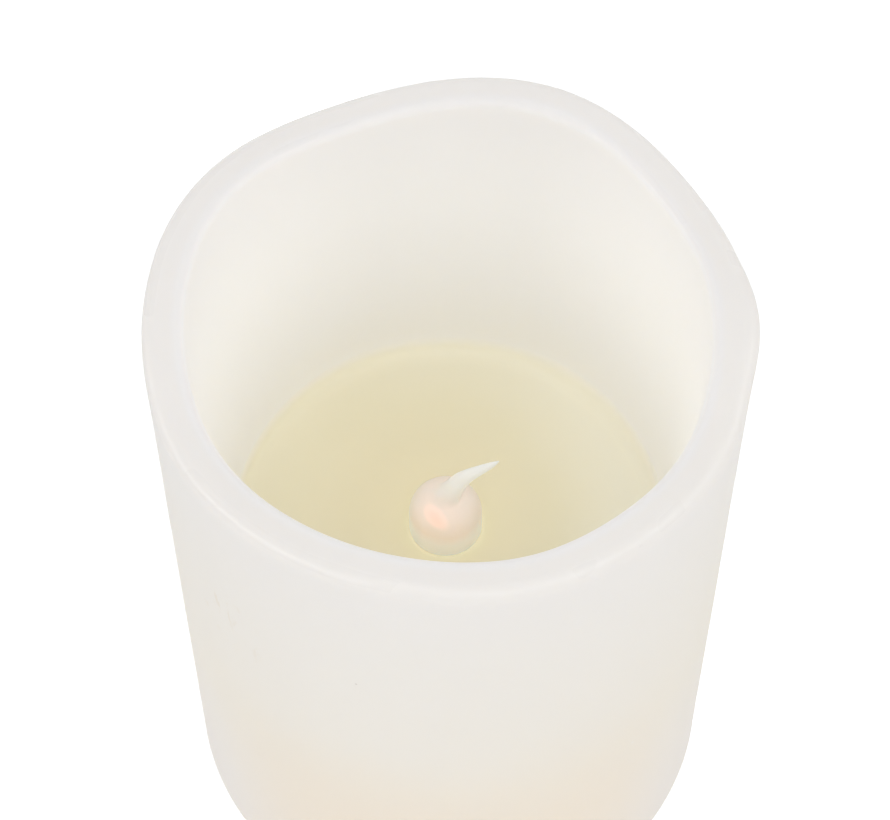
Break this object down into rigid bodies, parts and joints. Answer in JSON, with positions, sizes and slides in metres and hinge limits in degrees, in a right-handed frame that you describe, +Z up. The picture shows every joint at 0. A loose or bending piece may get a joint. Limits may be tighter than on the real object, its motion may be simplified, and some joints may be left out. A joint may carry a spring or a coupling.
{
  "type": "flameless led candle",
  "caption": "Wax pillar candle with a deep cup, an uneven rim and a flame-shaped lamp, lit by a battery insert pressed into its underside.",
  "frame": {"origin": "on the table, at the centre of the candle's round foot", "axes": "+Z up through the cup and the lamp; +X towards the battery door's latch; -Y towards the switch"},
  "size_m": [0.0757, 0.075, 0.104],
  "materials": {
    "wax": "ivory paraffin wax, soft satin, slightly translucent",
    "frosted_bulb": "frosted translucent soft plastic",
    "clear_epoxy": "clear amber lamp epoxy",
    "white_plastic": "moulded, fine spark texture",
    "black_plastic": "moulded",
    "switch_wafer": "phenolic board",
    "tinned_steel": "tin plated",
    "contact_nickel": "nickel plated spring steel",
    "screw_steel": "zinc plated",
    "cell_sleeve": "shrink sleeve over a steel can, plain bands",
    "circuit_board": "solder mask",
    "capacitor_sleeve": "shrink sleeve",
    "resistor_body": "lacquer with colour bands",
    "red_pvc": "wire insulation",
    "black_pvc": "wire insulation and shrink sleeve"
  },
  "bodies": {
    "candle": {"wax_body": "wax", "flame_bulb": "frosted_bulb", "led_lamp": "clear_epoxy", "led_holder": "black_plastic", "led_anode_lead": "tinned_steel", "led_cathode_lead": "tinned_steel", "anode_sleeve": "black_pvc", "cathode_sleeve": "black_pvc", "insert_base": "white_plastic", "insert_cover": "white_plastic", "case_screw_1": "screw_steel", "case_screw_2": "screw_steel", "case_screw_3": "screw_steel", "board_screw_1": "screw_steel", "board_screw_2": "screw_steel", "battery_1": "cell_sleeve", "battery_2": "cell_sleeve", "positive_contact": "contact_nickel", "negative_contact": "contact_nickel", "bridge_contact": "contact_nickel", "negative_spring": "contact_nickel", "bridge_spring": "contact_nickel", "circuit_board": "circuit_board", "control_chip": "black_plastic", "capacitor": "capacitor_sleeve", "timer_crystal": "tinned_steel", "led_resistor": "resistor_body", "switch_can": "tinned_steel", "switch_wafer": "switch_wafer", "lamp_wire_red": "red_pvc", "lamp_wire_black": "black_pvc", "battery_wire_red": "red_pvc", "battery_wire_black": "black_pvc"},
    "battery_door": {"battery_door": "white_plastic"},
    "switch_knob": {"switch_knob": "black_plastic"}
  },
  "joints": [
    {"name": "door_hinge", "type": "hinge", "parent": "candle", "child": "battery_door", "pos_m": [-0.027, 0, 0.0023], "axis": [0, 1, 0], "range_deg": [0, 100]},
    {"name": "switch_slide", "type": "slide", "parent": "candle", "child": "switch_knob", "axis": [1, 0, 0], "range_m": [-0.002, 0.002]}
  ]
}
